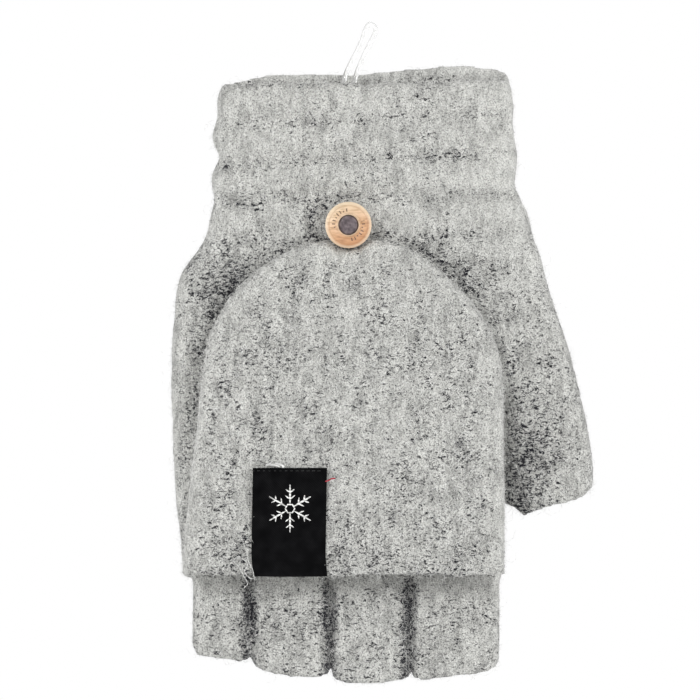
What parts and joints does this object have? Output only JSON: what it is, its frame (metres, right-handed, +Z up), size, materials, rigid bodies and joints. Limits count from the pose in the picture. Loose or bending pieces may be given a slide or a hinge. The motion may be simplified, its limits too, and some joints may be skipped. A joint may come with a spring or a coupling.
{
  "type": "convertible flip-top mitten",
  "caption": "Right-hand knitted mitten with open finger sleeves and a fold-back cap that is held open by a wooden button, hanging by a clear loop.",
  "frame": {"origin": "centre of the cuff's mouth, in the plane of its edge", "axes": "+Z up out of the cuff's mouth with the fingers pointing down, +X towards the thumb, -Y towards the back of the hand, where the folded cap lies"},
  "size_m": [0.1352, 0.0292, 0.212],
  "materials": {
    "wool": "matte heather light grey, brushed",
    "elastic": "matte",
    "thread": "matte",
    "loop_cord": "matte",
    "label_weave": "matte woven black",
    "label_thread": "matte",
    "button_wood": "satin",
    "button_centre": "satin",
    "clear_nylon": "clear"
  },
  "bodies": {
    "glove": {"cuff": "wool", "cuff_elastic_1": "elastic", "cuff_elastic_2": "elastic", "cuff_elastic_3": "elastic", "hand_body": "wool", "knuckle_web": "wool", "little_sleeve": "wool", "ring_sleeve": "wool", "middle_sleeve": "wool", "index_sleeve": "wool", "knuckle_seam": "wool", "thread_knot": "thread", "hang_pin": "clear_nylon"},
    "cap": {"cap_back_layer": "wool", "cap_front_layer": "wool", "button_loop": "loop_cord", "loop_tack": "thread", "label": "label_weave", "label_stitching": "label_thread"},
    "thumb": {"thumb_sleeve": "wool"},
    "button": {"button_ring": "button_wood", "button_inlay": "button_centre", "shank_thread": "thread"},
    "hang_strap": {"hang_loop": "clear_nylon"}
  },
  "joints": [
    {"name": "cap_flip", "type": "hinge", "parent": "glove", "child": "cap", "pos_m": [-0.00705, -0.007, -0.1603], "axis": [1, 0, 0], "range_deg": [0, 180], "deforming": ["button_loop", "cap_front_layer", "label", "label_stitching"]},
    {"name": "thumb_flex", "type": "hinge", "parent": "glove", "child": "thumb", "pos_m": [0.057, 0.0062, -0.10855], "axis": [1, 0, 0], "range_deg": [0, 45], "stiffness_Nm_per_rad": 0.006},
    {"name": "button_twist", "type": "hinge", "parent": "glove", "child": "button", "pos_m": [-0.0053, -0.012, -0.0477], "axis": [0, -1, 0], "range_deg": [-60, 60], "stiffness_Nm_per_rad": 0.0001},
    {"name": "hang_swing", "type": "hinge", "parent": "glove", "child": "hang_strap", "pos_m": [-0.0057, -0.0037, -0.009], "axis": [0, 1, 0], "range_deg": [-45, 30]}
  ]
}
